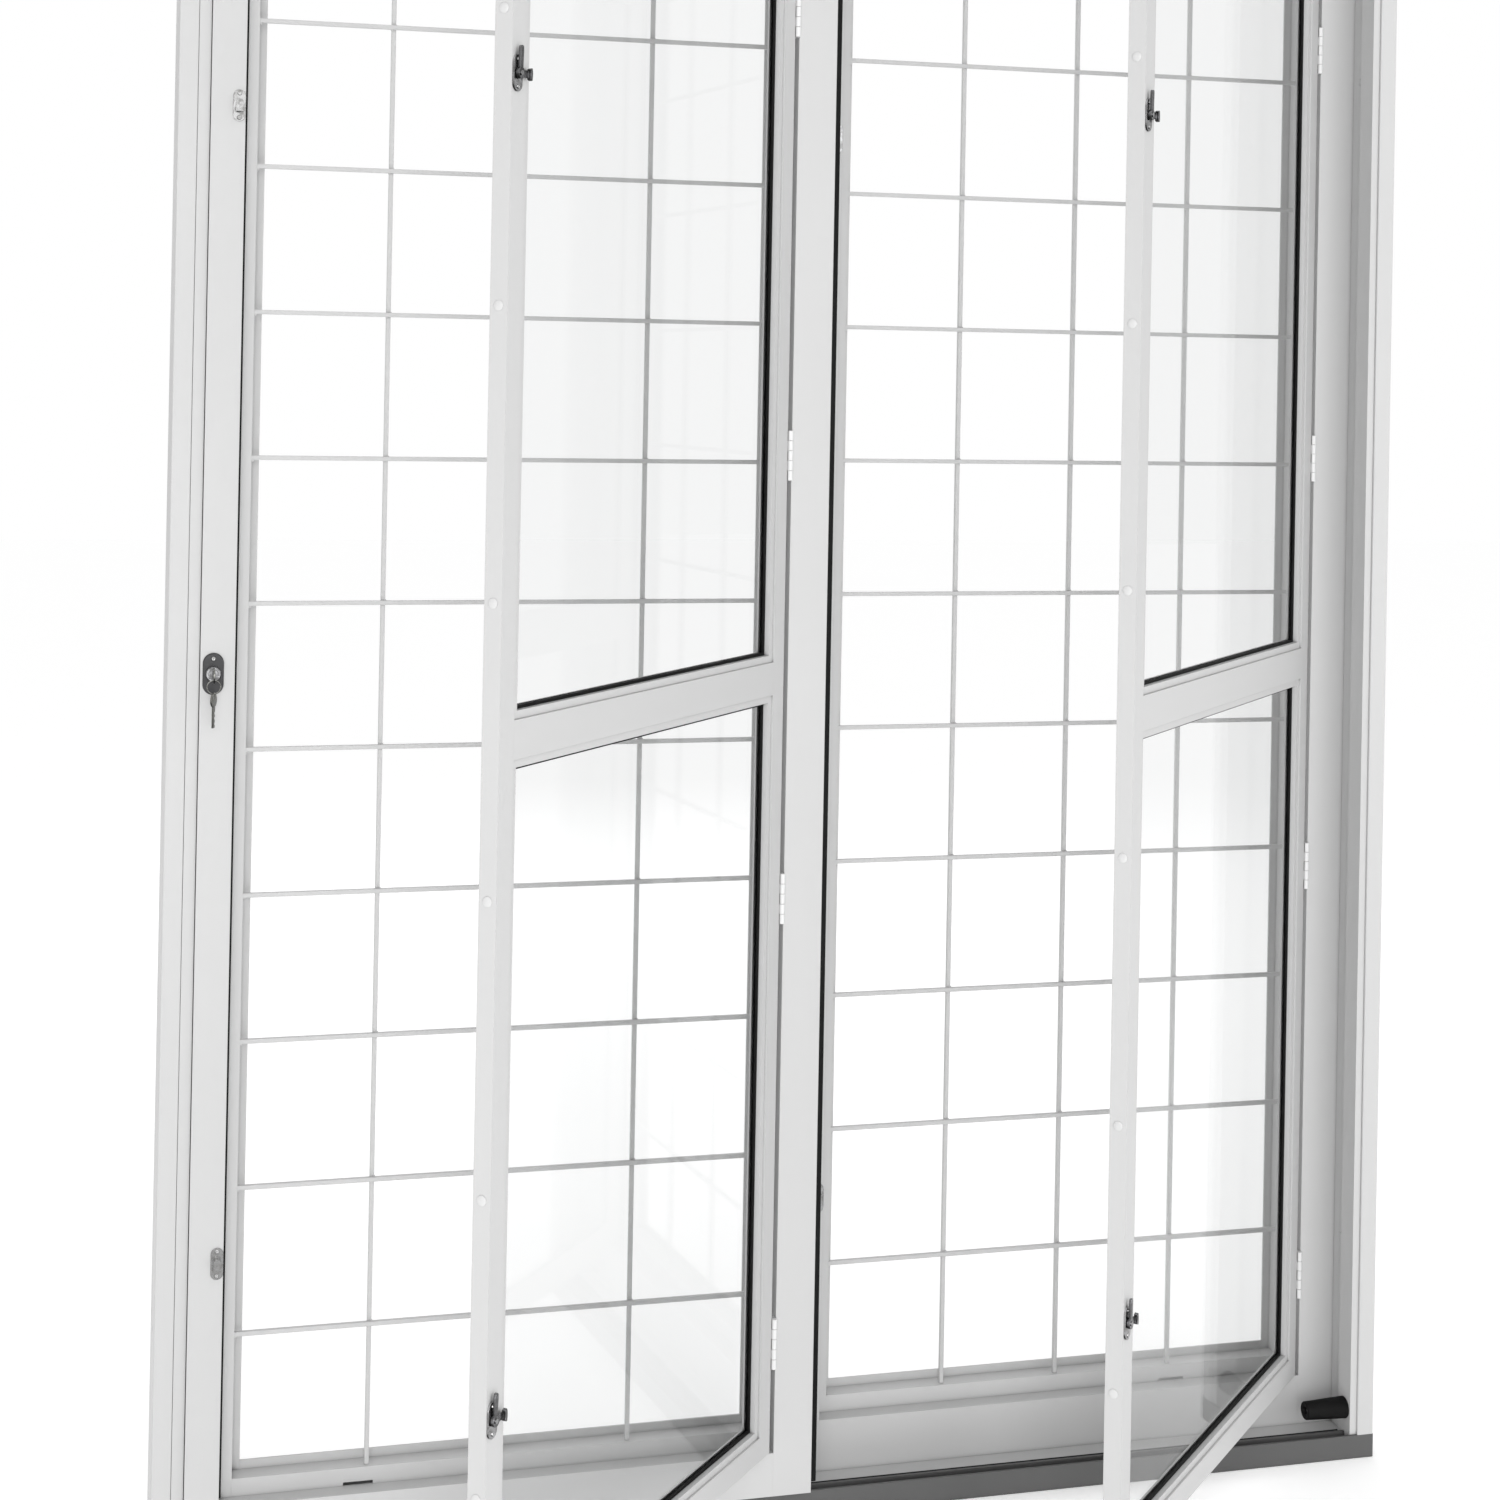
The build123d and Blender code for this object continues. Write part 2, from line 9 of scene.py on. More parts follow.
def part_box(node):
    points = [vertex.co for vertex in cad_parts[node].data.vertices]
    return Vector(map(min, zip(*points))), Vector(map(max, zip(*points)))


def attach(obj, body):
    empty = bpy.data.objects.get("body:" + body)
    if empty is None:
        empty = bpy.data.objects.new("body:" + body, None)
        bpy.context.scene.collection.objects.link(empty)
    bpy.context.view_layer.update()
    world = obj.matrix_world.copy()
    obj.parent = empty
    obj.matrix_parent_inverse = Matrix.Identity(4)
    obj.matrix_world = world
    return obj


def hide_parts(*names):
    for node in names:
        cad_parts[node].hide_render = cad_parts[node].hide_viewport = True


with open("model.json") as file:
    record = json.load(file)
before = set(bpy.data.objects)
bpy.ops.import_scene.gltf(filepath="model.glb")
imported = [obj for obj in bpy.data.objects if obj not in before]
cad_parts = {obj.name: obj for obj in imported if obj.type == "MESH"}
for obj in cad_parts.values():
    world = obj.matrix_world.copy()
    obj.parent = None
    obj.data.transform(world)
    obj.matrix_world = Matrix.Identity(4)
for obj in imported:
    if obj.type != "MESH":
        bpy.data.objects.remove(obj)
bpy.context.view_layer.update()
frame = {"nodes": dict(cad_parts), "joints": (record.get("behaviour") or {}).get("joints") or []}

bl_info = {
    "name": "Two-Panel Casement Window",
    "version": (1, 0, 0),
    "blender": (4, 5, 0),
    "location": "3D View > Sidebar > Window",
    "description": "Finishes, trim and studio for a sliding and casement window",
    "category": "Object",
}

MM = 0.001
# Sizes and places that the new pieces share with the parts
LATCH_STILE_W, HINGE_STILE_W, REBATE_D = 46 * MM, 57 * MM, 28 * MM
LEDGE_Z = (98 * MM, 2340 * MM)
GRILLE_ROWS, GRILLE_COLUMNS = 10, 4
GRILLE_MID_Z, ROW_PITCH, BAR = 1219 * MM, 200 * MM, 6 * MM
ANCHOR_Z = (319 * MM, 2119 * MM)
ANCHOR_Y = {"left_jamb": (-10 * MM, 56 * MM), "right_jamb": (-10 * MM,)}
CAP_R = 6.3 * MM
CAP_SPOT = Vector((-772 * MM, 15 * MM, 0))
BUFFER_BASE_R, BUFFER_TIP_R = 16.3 * MM, 13.4 * MM
HUB_R, HUB_L = 7 * MM, 4.6 * MM
CAM_RADIUS, CAM_ARC = 20 * MM, radians(40)
NODES = frame["nodes"]
JOINTS = {joint["name"]: joint for joint in frame["joints"]}
PANELS = {"front": "front_panel", "rear": "frame"}
LEAVES = {"left": "left_leaf", "right": "right_leaf"}
REST_DEG = {side: -JOINTS[f"{side}_leaf_hinge"]["range_deg"][0] for side in LEAVES}


# ------------------------------------------------------------------ settings
class FinishSettings(bpy.types.PropertyGroup):
    """Colours and gloss of the window's finishes."""

    frame_colour: bpy.props.FloatVectorProperty(
        name="Frame Paint", description="Powder coat of the frame and panels",
        subtype="COLOR", size=3, min=0, max=1, default=(0.545, 0.545, 0.545))
    leaf_colour: bpy.props.FloatVectorProperty(
        name="Leaf Paint", description="Powder coat of the casement leaves",
        subtype="COLOR", size=3, min=0, max=1, default=(0.545, 0.545, 0.545))
    grille_colour: bpy.props.FloatVectorProperty(
        name="Grille Paint", description="Paint of the welded bars",
        subtype="COLOR", size=3, min=0, max=1, default=(0.54, 0.54, 0.54))
    track_colour: bpy.props.FloatVectorProperty(
        name="Track Paint", description="Dark paint of the bottom track",
        subtype="COLOR", size=3, min=0, max=1, default=(0.078, 0.078, 0.078))
    glass_tint: bpy.props.FloatVectorProperty(
        name="Glass Tint", description="Colour that light picks up in a pane",
        subtype="COLOR", size=3, min=0, max=1, default=(0.92, 0.925, 0.925))
    peel_depth: bpy.props.FloatProperty(
        name="Peel Depth", description="Height of the powder coat's orange peel",
        subtype="DISTANCE", unit="LENGTH", min=0, max=0.001, default=0.00003)


class TrimSettings(bpy.types.PropertyGroup):
    """Sizes of the trim that is added to the window."""

    seal_width: bpy.props.FloatProperty(
        name="Seal Width", description="Width of the rubber seal in each panel's rebate",
        subtype="DISTANCE", unit="LENGTH", min=0.001, max=0.01, default=4 * MM)
    seal_height: bpy.props.FloatProperty(
        name="Seal Height", description="How far the rebate seal stands up",
        subtype="DISTANCE", unit="LENGTH", min=0.001, max=0.0035, default=2.6 * MM)
    weld_radius: bpy.props.FloatProperty(
        name="Weld Radius", description="Radius of the weld at each crossing of the bars",
        subtype="DISTANCE", unit="LENGTH", min=0.001, max=0.01, default=3.4 * MM)
    cap_crown: bpy.props.FloatProperty(
        name="Cap Crown", description="Height of the dome on each plug cap",
        subtype="DISTANCE", unit="LENGTH", min=0, max=0.002, default=0.9 * MM)
    key_turn: bpy.props.FloatProperty(
        name="Key Turn", description="How far the spare key is turned on its ring",
        subtype="ANGLE", unit="ROTATION", min=-0.6, max=0.6, default=radians(-25))


class StudioSettings(bpy.types.PropertyGroup):
    """Camera and light of the studio."""

    eye: bpy.props.FloatVectorProperty(
        name="Eye", description="Place of the camera", subtype="TRANSLATION", unit="LENGTH",
        size=3, default=(-1.0236, -3.5248, 1.6495))
    heading: bpy.props.FloatProperty(
        name="Heading", description="Turn of the camera to the right of the window's depth",
        subtype="ANGLE", unit="ROTATION", default=0.2595)
    pitch: bpy.props.FloatProperty(
        name="Pitch", description="Upward tilt of the camera", subtype="ANGLE", unit="ROTATION",
        default=0.0051)
    roll: bpy.props.FloatProperty(
        name="Roll", description="Turn of the camera about its own axis", subtype="ANGLE",
        unit="ROTATION", default=0.0185)
    lens: bpy.props.FloatProperty(
        name="Lens", description="Focal length on a 36 mm sensor", subtype="DISTANCE_CAMERA",
        unit="CAMERA", min=10, max=300, default=59.69)
    lens_drop: bpy.props.FloatProperty(
        name="Lens Drop", description="Vertical lens shift as a share of the sensor",
        min=-1, max=1, default=-0.2607)
    room_light: bpy.props.FloatProperty(
        name="Room Light", description="Strength of the even light from all round",
        min=0, max=5, default=0.76)


# ------------------------------------------------------------------ mesh tools
def deselect():
    if bpy.context.object and bpy.context.object.mode != "OBJECT":
        bpy.ops.object.mode_set(mode="OBJECT")
    bpy.ops.object.select_all(action="DESELECT")


def only(obj):
    deselect()
    obj.select_set(True)
    bpy.context.view_layer.objects.active = obj
    return obj


def start(add, name, **options):
    """Add a primitive with nothing else selected and name it."""
    deselect()
    add(**options)
    obj = bpy.context.object
    obj.name = obj.data.name = name
    return obj


def pick(obj, test, kind="faces"):
    """Enter edit mode with just the faces, edges or vertices that pass the test selected."""
    only(obj)
    bpy.ops.object.mode_set(mode="EDIT")
    bpy.ops.mesh.select_mode(type={"faces": "FACE", "edges": "EDGE", "verts": "VERT"}[kind])
    bpy.ops.mesh.select_all(action="DESELECT")
    mesh = bmesh.from_edit_mesh(obj.data)
    for item in getattr(mesh, kind):
        item.select_set(bool(test(item)))
    mesh.select_flush_mode()
    bmesh.update_edit_mesh(obj.data)


def leave():
    bpy.ops.object.mode_set(mode="OBJECT")


def settle(obj, matrix=None):
    """Put the object's place into its mesh, then move the mesh by a matrix."""
    only(obj)
    bpy.ops.object.transform_apply(location=True, rotation=True, scale=True)
    if matrix is not None:
        obj.matrix_world = matrix
        bpy.ops.object.transform_apply(location=True, rotation=True, scale=True)
    return obj


def round_edges(obj, width, segments=2, angle=35):
    """Bevel the sharp edges for good and shade the flats flat."""
    only(obj)
    bevel = obj.modifiers.new("Edges", "BEVEL")
    bevel.width, bevel.segments = width, segments
    bevel.limit_method, bevel.angle_limit = "ANGLE", radians(angle)
    bevel.use_clamp_overlap = True
    bpy.ops.object.modifier_apply(modifier=bevel.name)
    bpy.ops.object.shade_smooth_by_angle(angle=radians(40))
    return obj


def copy_to(obj, matrix, name):
    """A copy with its own mesh, moved by a matrix."""
    other = obj.copy()
    other.data = obj.data.copy()
    other.name = other.data.name = name
    bpy.context.collection.objects.link(other)
    return settle(other, matrix)


def join(parts, name):
    deselect()
    for part in parts:
        part.select_set(True)
    bpy.context.view_layer.objects.active = parts[0]
    if len(parts) > 1:
        bpy.ops.object.join()
    obj = bpy.context.object
    obj.name = obj.data.name = name
    return obj


def outward(obj):
    only(obj)
    bpy.ops.object.mode_set(mode="EDIT")
    bpy.ops.mesh.select_all(action="SELECT")
    bpy.ops.mesh.remove_doubles(threshold=0.00001)
    bpy.ops.mesh.normals_make_consistent(inside=False)
    leave()
    return obj


def place(obj, body, material):
    """Give a finished piece its material and let it ride on a body."""
    obj.data.materials.clear()
    obj.data.materials.append(material)
    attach(obj, body)
    return obj


def span(node):
    low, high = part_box(node)
    return low, high, (low + high) / 2


def clusters(node, axis=2, gap=0.05):
    """Boxes of the separate pieces in a node, split where there is a gap along an axis."""
    points = sorted((Vector(v.co) for v in NODES[node].data.vertices), key=lambda p: p[axis])
    groups = [[points[0]]]
    for point in points[1:]:
        if point[axis] - groups[-1][-1][axis] > gap:
            groups.append([])
        groups[-1].append(point)
    return [tuple(Vector(f(p[i] for p in group) for i in range(3)) for f in (min, max)) for group in groups]


def leaf_matrix(side):
    """Frame of a leaf at rest: origin on its hinge axis, X away from the free edge, Y into the wall."""
    pivot = Vector(JOINTS[f"{side}_leaf_hinge"]["pos_m"])
    turn = Matrix.Rotation(radians(REST_DEG[side]), 4, "Z")
    return Matrix.Translation((pivot.x, pivot.y, 0)) @ turn


# ------------------------------------------------------------------- materials
def new_group(name, inputs, outputs):
    group = bpy.data.node_groups.new(name, "ShaderNodeTree")
    for label, kind, value in inputs:
        socket = group.interface.new_socket(name=label, in_out="INPUT", socket_type=kind)
        if value is not None:
            socket.default_value = value
    for label, kind in outputs:
        group.interface.new_socket(name=label, in_out="OUTPUT", socket_type=kind)
    return group, group.nodes.new("NodeGroupInput"), group.nodes.new("NodeGroupOutput")


def powder_coat_group():
    """Orange peel, faint clouding of the colour and painted shade in the creases."""
    group, inside, out = new_group(
        "Powder Coat",
        [("Colour", "NodeSocketColor", (0.8, 0.8, 0.8, 1)), ("Soil", "NodeSocketColor", (0.1, 0.1, 0.1, 1)),
         ("Crease", "NodeSocketFloat", 1.0), ("Roughness", "NodeSocketFloat", 0.4),
         ("Peel Depth", "NodeSocketFloat", 0.00003), ("Normal", "NodeSocketVector", None)],
        [("Colour", "NodeSocketColor"), ("Roughness", "NodeSocketFloat"), ("Normal", "NodeSocketVector")])
    nodes, links = group.nodes, group.links
    coords = nodes.new("ShaderNodeTexCoord")
    cloud = nodes.new("ShaderNodeTexNoise")
    cloud.inputs["Scale"].default_value = 3.5
    cloud.inputs["Detail"].default_value = 4
    peel = nodes.new("ShaderNodeTexNoise")
    peel.inputs["Scale"].default_value = 700
    peel.inputs["Detail"].default_value = 1
    for noise in (cloud, peel):
        links.new(coords.outputs["Object"], noise.inputs["Vector"])
    shade = nodes.new("ShaderNodeMapRange")
    shade.inputs["From Min"].default_value, shade.inputs["From Max"].default_value = 0.3, 0.7
    shade.inputs["To Min"].default_value, shade.inputs["To Max"].default_value = 0.0, 0.05
    links.new(cloud.outputs["Fac"], shade.inputs["Value"])
    tint = nodes.new("ShaderNodeMix")
    tint.data_type = "RGBA"
    tint.inputs["B"].default_value = (0.45, 0.45, 0.44, 1)
    links.new(shade.outputs["Result"], tint.inputs["Factor"])
    links.new(inside.outputs["Colour"], tint.inputs["A"])
    # Painted shade: the occlusion value in Crease turns the colour toward the shade colour in creases,
    # corners and recesses.
    crease = nodes.new("ShaderNodeMapRange")
    crease.inputs["From Min"].default_value, crease.inputs["From Max"].default_value = 0.15, 0.62
    crease.inputs["To Min"].default_value, crease.inputs["To Max"].default_value = 1.0, 0.0
    links.new(inside.outputs["Crease"], crease.inputs["Value"])
    soil = nodes.new("ShaderNodeMix")
    soil.data_type = "RGBA"
    links.new(crease.outputs["Result"], soil.inputs["Factor"])
    links.new(tint.outputs["Result"], soil.inputs["A"])
    links.new(inside.outputs["Soil"], soil.inputs["B"])
    links.new(soil.outputs["Result"], out.inputs["Colour"])
    rough = nodes.new("ShaderNodeMath")
    rough.operation = "ADD"
    spread = nodes.new("ShaderNodeMath")
    spread.operation = "MULTIPLY"
    spread.inputs[1].default_value = 2.0
    links.new(shade.outputs["Result"], spread.inputs[0])
    links.new(inside.outputs["Roughness"], rough.inputs[0])
    links.new(spread.outputs["Value"], rough.inputs[1])
    links.new(rough.outputs["Value"], out.inputs["Roughness"])
    bump = nodes.new("ShaderNodeBump")
    bump.inputs["Strength"].default_value = 0.5
    links.new(inside.outputs["Peel Depth"], bump.inputs["Distance"])
    links.new(peel.outputs["Fac"], bump.inputs["Height"])
    links.new(inside.outputs["Normal"], bump.inputs["Normal"])
    links.new(bump.outputs["Normal"], out.inputs["Normal"])
    return group


def handled_metal_and_reflection_group():
    """Fine scratches and fingerprints on polished metal, with a painted reflection that darkens it towards
    its underside.
    """
    group, inside, out = new_group(
        "Handled Metal",
        [("Colour", "NodeSocketColor", (0.6, 0.6, 0.6, 1)), ("Roughness", "NodeSocketFloat", 0.15),
         ("Scratch Depth", "NodeSocketFloat", 0.00002), ("Normal", "NodeSocketVector", None)],
        [("Colour", "NodeSocketColor"), ("Roughness", "NodeSocketFloat"), ("Normal", "NodeSocketVector")])
    nodes, links = group.nodes, group.links
    coords = nodes.new("ShaderNodeTexCoord")
    stretch = nodes.new("ShaderNodeMapping")
    stretch.inputs["Scale"].default_value = (2600, 2600, 220)
    stretch.inputs["Rotation"].default_value = (0.3, 0.2, 0.4)
    links.new(coords.outputs["Object"], stretch.inputs["Vector"])
    scratch = nodes.new("ShaderNodeTexNoise")
    scratch.inputs["Scale"].default_value = 1
    scratch.inputs["Detail"].default_value = 3
    links.new(stretch.outputs["Vector"], scratch.inputs["Vector"])
    smear = nodes.new("ShaderNodeTexNoise")
    smear.inputs["Scale"].default_value = 160
    smear.inputs["Detail"].default_value = 4
    links.new(coords.outputs["Object"], smear.inputs["Vector"])
    darker = nodes.new("ShaderNodeMix")
    darker.data_type = "RGBA"
    darker.blend_type = "MULTIPLY"
    darker.inputs["B"].default_value = (0.55, 0.54, 0.52, 1)
    ramp = nodes.new("ShaderNodeMapRange")
    ramp.inputs["From Min"].default_value, ramp.inputs["From Max"].default_value = 0.42, 0.75
    links.new(smear.outputs["Fac"], ramp.inputs["Value"])
    links.new(ramp.outputs["Result"], darker.inputs["Factor"])
    links.new(inside.outputs["Colour"], darker.inputs["A"])
    # Painted reflection: faces turned down are mixed toward near-black and faces turned up keep the colour,
    # as a dark floor would mirror in polished metal.
    facing, slope = nodes.new("ShaderNodeNewGeometry"), nodes.new("ShaderNodeSeparateXYZ")
    links.new(facing.outputs["Normal"], slope.inputs["Vector"])
    lift = nodes.new("ShaderNodeMapRange")
    lift.inputs["From Min"].default_value, lift.inputs["From Max"].default_value = -0.3, 0.3
    links.new(slope.outputs["Z"], lift.inputs["Value"])
    painted_reflection = nodes.new("ShaderNodeMix")
    painted_reflection.data_type = "RGBA"
    painted_reflection.inputs["A"].default_value = (0.03, 0.03, 0.03, 1)
    links.new(lift.outputs["Result"], painted_reflection.inputs["Factor"])
    links.new(darker.outputs["Result"], painted_reflection.inputs["B"])
    links.new(painted_reflection.outputs["Result"], out.inputs["Colour"])
    spread = nodes.new("ShaderNodeMath")
    spread.operation = "MULTIPLY_ADD"
    spread.inputs[1].default_value = 0.22
    links.new(ramp.outputs["Result"], spread.inputs[0])
    links.new(inside.outputs["Roughness"], spread.inputs[2])
    links.new(spread.outputs["Value"], out.inputs["Roughness"])
    bump = nodes.new("ShaderNodeBump")
    bump.inputs["Strength"].default_value = 0.35
    links.new(inside.outputs["Scratch Depth"], bump.inputs["Distance"])
    links.new(scratch.outputs["Fac"], bump.inputs["Height"])
    links.new(inside.outputs["Normal"], bump.inputs["Normal"])
    links.new(bump.outputs["Normal"], out.inputs["Normal"])
    return group


def blank(name):
    old = bpy.data.materials.get(name)
    if old:
        bpy.data.materials.remove(old)
    material = bpy.data.materials.new(name)
    material.use_nodes = True
    tree = material.node_tree
    tree.nodes.clear()
    shader = tree.nodes.new("ShaderNodeBsdfPrincipled")
    out = tree.nodes.new("ShaderNodeOutputMaterial")
    tree.links.new(shader.outputs["BSDF"], out.inputs["Surface"])
    return material, tree, shader


def soft_edge(tree, radius):
    node = tree.nodes.new("ShaderNodeBevel")
    node.samples = 4
    node.inputs["Radius"].default_value = radius
    return node.outputs["Normal"]


def paint(name, colour, roughness, peel=0.00003, soil=(0.10, 0.10, 0.10), reach=0.012, edge=0.0007):
    material, tree, shader = blank(name)
    coat_group = tree.nodes.new("ShaderNodeGroup")
    coat_group.node_tree = bpy.data.node_groups["Powder Coat"]
    coat_group.inputs["Colour"].default_value = (*colour, 1)
    coat_group.inputs["Soil"].default_value = (*soil, 1)
    coat_group.inputs["Roughness"].default_value = roughness
    coat_group.inputs["Peel Depth"].default_value = peel
    # Painted shade: ambient occlusion within the reach darkens creases, corners and recesses toward the
    # given shade colour.
    crease = tree.nodes.new("ShaderNodeAmbientOcclusion")
    crease.samples = 8
    crease.inputs["Distance"].default_value = reach
    tree.links.new(crease.outputs["AO"], coat_group.inputs["Crease"])
    tree.links.new(soft_edge(tree, edge), coat_group.inputs["Normal"])
    tree.links.new(coat_group.outputs["Colour"], shader.inputs["Base Color"])
    tree.links.new(coat_group.outputs["Roughness"], shader.inputs["Roughness"])
    tree.links.new(coat_group.outputs["Normal"], shader.inputs["Normal"])
    shader.inputs["IOR"].default_value = 1.45
    return material


def metal(name, colour, roughness, scratch=0.00002, edge=0.0006):
    material, tree, shader = blank(name)
    wear_and_reflection = tree.nodes.new("ShaderNodeGroup")
    wear_and_reflection.node_tree = bpy.data.node_groups["Handled Metal"]
    wear_and_reflection.inputs["Colour"].default_value = (*colour, 1)
    wear_and_reflection.inputs["Roughness"].default_value = roughness
    wear_and_reflection.inputs["Scratch Depth"].default_value = scratch
    tree.links.new(soft_edge(tree, edge), wear_and_reflection.inputs["Normal"])
    tree.links.new(wear_and_reflection.outputs["Colour"], shader.inputs["Base Color"])
    tree.links.new(wear_and_reflection.outputs["Roughness"], shader.inputs["Roughness"])
    tree.links.new(wear_and_reflection.outputs["Normal"], shader.inputs["Normal"])
    shader.inputs["Metallic"].default_value = 1.0
    return material


def rubber(name, colour, roughness, grain=260, depth=0.0001, bloom=0.35):
    """Matt rubber with a fine grain and a pale bloom in patches."""
    material, tree, shader = blank(name)
    coords = tree.nodes.new("ShaderNodeTexCoord")
    fine = tree.nodes.new("ShaderNodeTexNoise")
    fine.inputs["Scale"].default_value = grain
    fine.inputs["Detail"].default_value = 3
    patch = tree.nodes.new("ShaderNodeTexNoise")
    patch.inputs["Scale"].default_value = 24
    patch.inputs["Detail"].default_value = 4
    for noise in (fine, patch):
        tree.links.new(coords.outputs["Object"], noise.inputs["Vector"])
    ramp = tree.nodes.new("ShaderNodeMapRange")
    ramp.inputs["From Min"].default_value, ramp.inputs["From Max"].default_value = 0.45, 0.8
    ramp.inputs["To Max"].default_value = bloom
    tree.links.new(patch.outputs["Fac"], ramp.inputs["Value"])
    tint = tree.nodes.new("ShaderNodeMix")
    tint.data_type = "RGBA"
    tint.inputs["A"].default_value = (*colour, 1)
    tint.inputs["B"].default_value = (*(min(1, c * 2.5 + 0.01) for c in colour), 1)
    tree.links.new(ramp.outputs["Result"], tint.inputs["Factor"])
    tree.links.new(tint.outputs["Result"], shader.inputs["Base Color"])
    bump = tree.nodes.new("ShaderNodeBump")
    bump.inputs["Strength"].default_value = 0.4
    bump.inputs["Distance"].default_value = depth
    tree.links.new(fine.outputs["Fac"], bump.inputs["Height"])
    tree.links.new(soft_edge(tree, 0.0006), bump.inputs["Normal"])
    tree.links.new(bump.outputs["Normal"], shader.inputs["Normal"])
    shader.inputs["Roughness"].default_value = roughness
    shader.inputs["Specular IOR Level"].default_value = 0.12
    return material


def pane_glass(name, tint):
    """Clear float glass with a faint ripple and a few dust specks."""
    material, tree, shader = blank(name)
    coords = tree.nodes.new("ShaderNodeTexCoord")
    ripple = tree.nodes.new("ShaderNodeTexNoise")
    ripple.inputs["Scale"].default_value = 2.0
    ripple.inputs["Detail"].default_value = 1
    tree.links.new(coords.outputs["Object"], ripple.inputs["Vector"])
    bump = tree.nodes.new("ShaderNodeBump")
    bump.inputs["Strength"].default_value = 0.15
    bump.inputs["Distance"].default_value = 0.0004
    tree.links.new(ripple.outputs["Fac"], bump.inputs["Height"])
    tree.links.new(bump.outputs["Normal"], shader.inputs["Normal"])
    film = tree.nodes.new("ShaderNodeTexNoise")
    film.inputs["Scale"].default_value = 5.0
    film.inputs["Detail"].default_value = 6
    tree.links.new(coords.outputs["Object"], film.inputs["Vector"])
    smear = tree.nodes.new("ShaderNodeMapRange")
    smear.inputs["From Min"].default_value, smear.inputs["From Max"].default_value = 0.35, 0.8
    smear.inputs["To Min"].default_value, smear.inputs["To Max"].default_value = 0.0, 0.035
    tree.links.new(film.outputs["Fac"], smear.inputs["Value"])
    tree.links.new(smear.outputs["Result"], shader.inputs["Roughness"])
    shader.inputs["Base Color"].default_value = (*tint, 1)
    shader.inputs["Transmission Weight"].default_value = 1.0
    shader.inputs["IOR"].default_value = 1.2
    return material


def floor_finish():
    material, tree, shader = blank("studio_floor")
    coords = tree.nodes.new("ShaderNodeTexCoord")
    noise = tree.nodes.new("ShaderNodeTexNoise")
    noise.inputs["Scale"].default_value = 1.2
    tree.links.new(coords.outputs["Object"], noise.inputs["Vector"])
    tint = tree.nodes.new("ShaderNodeMix")
    tint.data_type = "RGBA"
    tint.inputs["A"].default_value = (0.97, 0.97, 0.97, 1)
    tint.inputs["B"].default_value = (0.96, 0.96, 0.96, 1)
    tree.links.new(noise.outputs["Fac"], tint.inputs["Factor"])
    tree.links.new(tint.outputs["Result"], shader.inputs["Base Color"])
    shader.inputs["Roughness"].default_value = 0.9
    shader.inputs["Specular IOR Level"].default_value = 0.1
    shader.inputs["Emission Color"].default_value = (1, 1, 1, 1)
    shader.inputs["Emission Strength"].default_value = 0.26
    return material


def coat_nodes(material, *names):
    for name in names:
        obj = NODES[name]
        if not obj.material_slots:
            obj.data.materials.append(material)
        for index in range(len(obj.material_slots)):
            obj.material_slots[index].material = material


